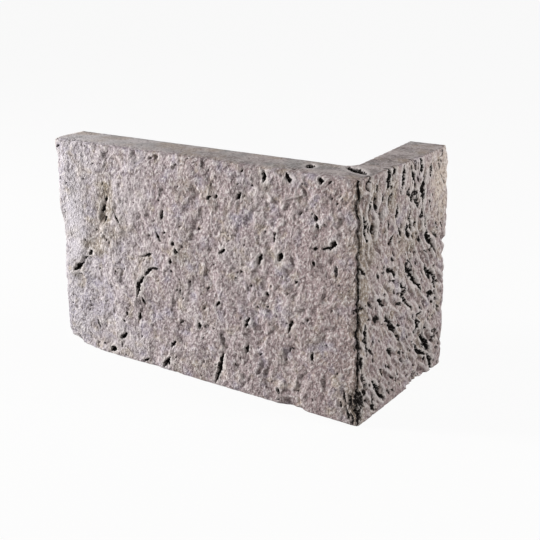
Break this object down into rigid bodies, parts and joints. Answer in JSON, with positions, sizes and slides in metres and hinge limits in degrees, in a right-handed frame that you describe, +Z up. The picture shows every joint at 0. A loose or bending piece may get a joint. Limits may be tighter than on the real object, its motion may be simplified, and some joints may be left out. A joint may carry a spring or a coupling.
{
  "type": "quoin stone",
  "caption": "L-shaped cast-stone quoin: rough, pitted rock faces on the two outer sides, flat beds, ends and backs, set round the outside corner of a wall.",
  "frame": {"origin": "on the lower bed, where the two back planes meet: the foot of the wall corner's edge", "axes": "+X from the end of the long leg towards the short leg's rock face, +Y from the long rock face towards the wall, +Z up from the lower bed to the upper bed"},
  "size_m": [0.32, 0.15, 0.2],
  "materials": {
    "cast_stone": "rough and pitted rock face, smooth beds"
  },
  "bodies": {
    "root": {"quoin_stone": "cast_stone"}
  },
  "joints": []
}
